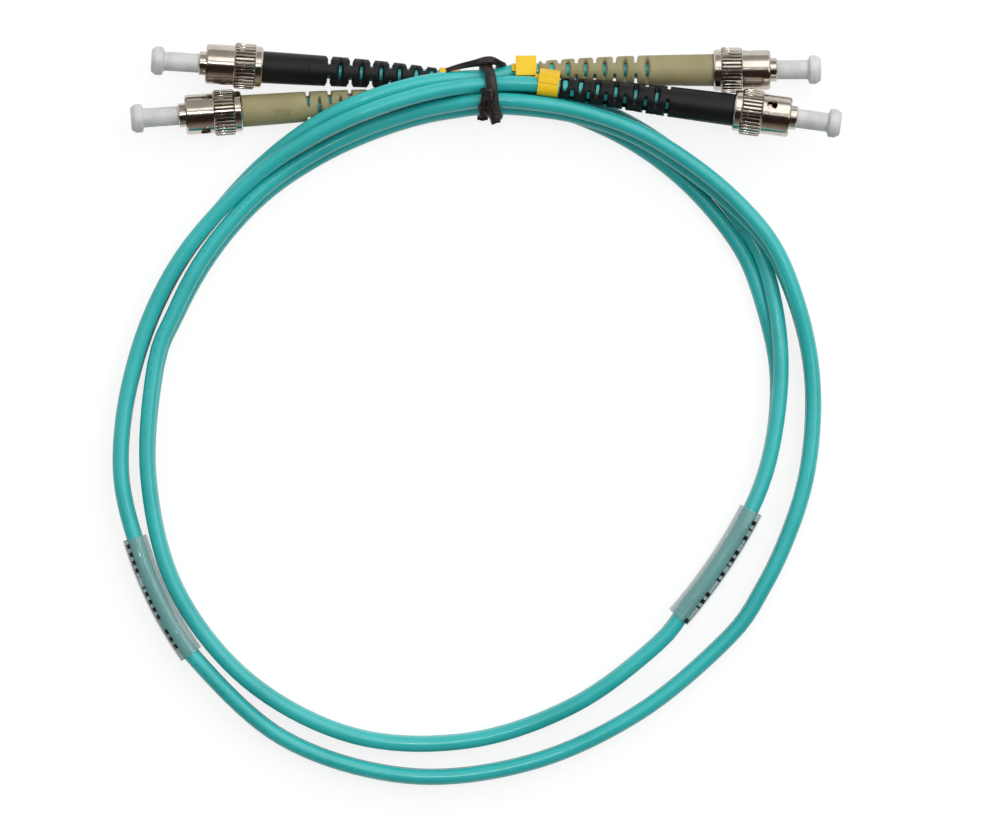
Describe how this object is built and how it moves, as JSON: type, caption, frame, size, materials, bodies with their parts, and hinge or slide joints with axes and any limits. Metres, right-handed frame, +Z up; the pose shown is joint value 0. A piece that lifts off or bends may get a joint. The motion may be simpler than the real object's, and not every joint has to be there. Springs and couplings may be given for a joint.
{
  "type": "duplex fibre patch lead",
  "caption": "Duplex fibre patch lead coiled and tied, with bayonet connectors, pull-off dust caps, bend-relief boots, clip-on markers and clear label sleeves.",
  "frame": {"origin": "bottom centre of the box around the connectors, which lie on the floor at the top of the coil", "axes": "+X towards the right-hand pair of connectors, +Y away from the coil, +Z up from the surface the lead lies on"},
  "size_m": [0.1453, 0.1481, 0.0138],
  "materials": {
    "cap": "milky translucent moulding",
    "ceramic": "polished white zirconia",
    "nickel": "nickel plated, turned",
    "steel": "plain",
    "black_boot": "satin moulding",
    "beige_boot": "satin moulding",
    "marker": "moulded",
    "jacket": "extruded",
    "clear_sleeve": "clear flexible tube",
    "label": "plain label strip",
    "tie": "plastic-coated flat wire"
  },
  "bodies": {
    "lead": {"left_black_ferrule": "ceramic", "left_black_ferrule_holder": "nickel", "left_black_barrel": "nickel", "left_black_spring": "steel", "left_black_retaining_ring": "steel", "left_black_crimp_body": "nickel", "left_black_crimp_sleeve": "steel", "left_black_boot": "black_boot", "left_beige_ferrule": "ceramic", "left_beige_ferrule_holder": "nickel", "left_beige_barrel": "nickel", "left_beige_spring": "steel", "left_beige_retaining_ring": "steel", "left_beige_crimp_body": "nickel", "left_beige_crimp_sleeve": "steel", "left_beige_boot": "beige_boot", "right_beige_ferrule": "ceramic", "right_beige_ferrule_holder": "nickel", "right_beige_barrel": "nickel", "right_beige_spring": "steel", "right_beige_retaining_ring": "steel", "right_beige_crimp_body": "nickel", "right_beige_crimp_sleeve": "steel", "right_beige_boot": "beige_boot", "right_black_ferrule": "ceramic", "right_black_ferrule_holder": "nickel", "right_black_barrel": "nickel", "right_black_spring": "steel", "right_black_retaining_ring": "steel", "right_black_crimp_body": "nickel", "right_black_crimp_sleeve": "steel", "right_black_boot": "black_boot", "left_black_marker": "marker", "right_beige_marker": "marker", "right_black_marker": "marker", "cord_a": "jacket", "cord_b": "jacket", "left_label_sleeve": "clear_sleeve", "left_label_insert": "label", "right_label_sleeve": "clear_sleeve", "right_label_insert": "label", "twist_tie": "tie"},
    "left_black_washer": {"left_black_thrust_washer": "steel"},
    "left_black_nut": {"left_black_coupling_nut": "nickel"},
    "left_black_cap": {"left_black_dust_cap": "cap"},
    "left_beige_washer": {"left_beige_thrust_washer": "steel"},
    "left_beige_nut": {"left_beige_coupling_nut": "nickel"},
    "left_beige_cap": {"left_beige_dust_cap": "cap"},
    "right_beige_washer": {"right_beige_thrust_washer": "steel"},
    "right_beige_nut": {"right_beige_coupling_nut": "nickel"},
    "right_beige_cap": {"right_beige_dust_cap": "cap"},
    "right_black_washer": {"right_black_thrust_washer": "steel"},
    "right_black_nut": {"right_black_coupling_nut": "nickel"},
    "right_black_cap": {"right_black_dust_cap": "cap"}
  },
  "joints": [
    {"name": "left_black_washer_slide", "type": "slide", "parent": "lead", "child": "left_black_washer", "axis": [-0.9965, 0.0575, 0.061], "range_m": [0, 0.0016], "stiffness_N_per_m": 1500, "springref_m": -0.0008, "deforming": ["left_black_spring"]},
    {"name": "left_black_nut_spin", "type": "hinge", "parent": "left_black_washer", "child": "left_black_nut", "pos_m": [-0.0446, 0.0047, 0.00455], "axis": [-0.9965, 0.0575, 0.061], "continuous": true},
    {"name": "left_black_cap_slide", "type": "slide", "parent": "lead", "child": "left_black_cap", "axis": [-0.9965, 0.0575, 0.061], "range_m": [0, 0.012]},
    {"name": "left_beige_washer_slide", "type": "slide", "parent": "lead", "child": "left_beige_washer", "axis": [-0.9955, -0.0731, 0.061], "range_m": [0, 0.0016], "stiffness_N_per_m": 1500, "springref_m": -0.0008, "deforming": ["left_beige_spring"]},
    {"name": "left_beige_nut_spin", "type": "hinge", "parent": "left_beige_washer", "child": "left_beige_nut", "pos_m": [-0.0487, -0.0041, 0.00455], "axis": [-0.9955, -0.0731, 0.061], "continuous": true},
    {"name": "left_beige_cap_slide", "type": "slide", "parent": "lead", "child": "left_beige_cap", "axis": [-0.9955, -0.0731, 0.061], "range_m": [0, 0.012]},
    {"name": "right_beige_washer_slide", "type": "slide", "parent": "lead", "child": "right_beige_washer", "axis": [1, 0.0052, 0], "range_m": [0, 0.0016], "stiffness_N_per_m": 1500, "springref_m": -0.0008, "deforming": ["right_beige_spring"]},
    {"name": "right_beige_nut_spin", "type": "hinge", "parent": "right_beige_washer", "child": "right_beige_nut", "pos_m": [0.04555, 0.0041, 0.0046], "axis": [1, 0.0052, 0], "continuous": true},
    {"name": "right_beige_cap_slide", "type": "slide", "parent": "lead", "child": "right_beige_cap", "axis": [1, 0.0052, 0], "range_m": [0, 0.012]},
    {"name": "right_black_washer_slide", "type": "slide", "parent": "lead", "child": "right_black_washer", "axis": [0.9914, -0.1305, 0.0105], "range_m": [0, 0.0016], "stiffness_N_per_m": 1500, "springref_m": -0.0008, "deforming": ["right_black_spring"]},
    {"name": "right_black_nut_spin", "type": "hinge", "parent": "right_black_washer", "child": "right_black_nut", "pos_m": [0.04945, -0.0041, 0.00855], "axis": [0.9914, -0.1305, 0.0105], "continuous": true},
    {"name": "right_black_cap_slide", "type": "slide", "parent": "lead", "child": "right_black_cap", "axis": [0.9914, -0.1305, 0.0105], "range_m": [0, 0.012]}
  ]
}
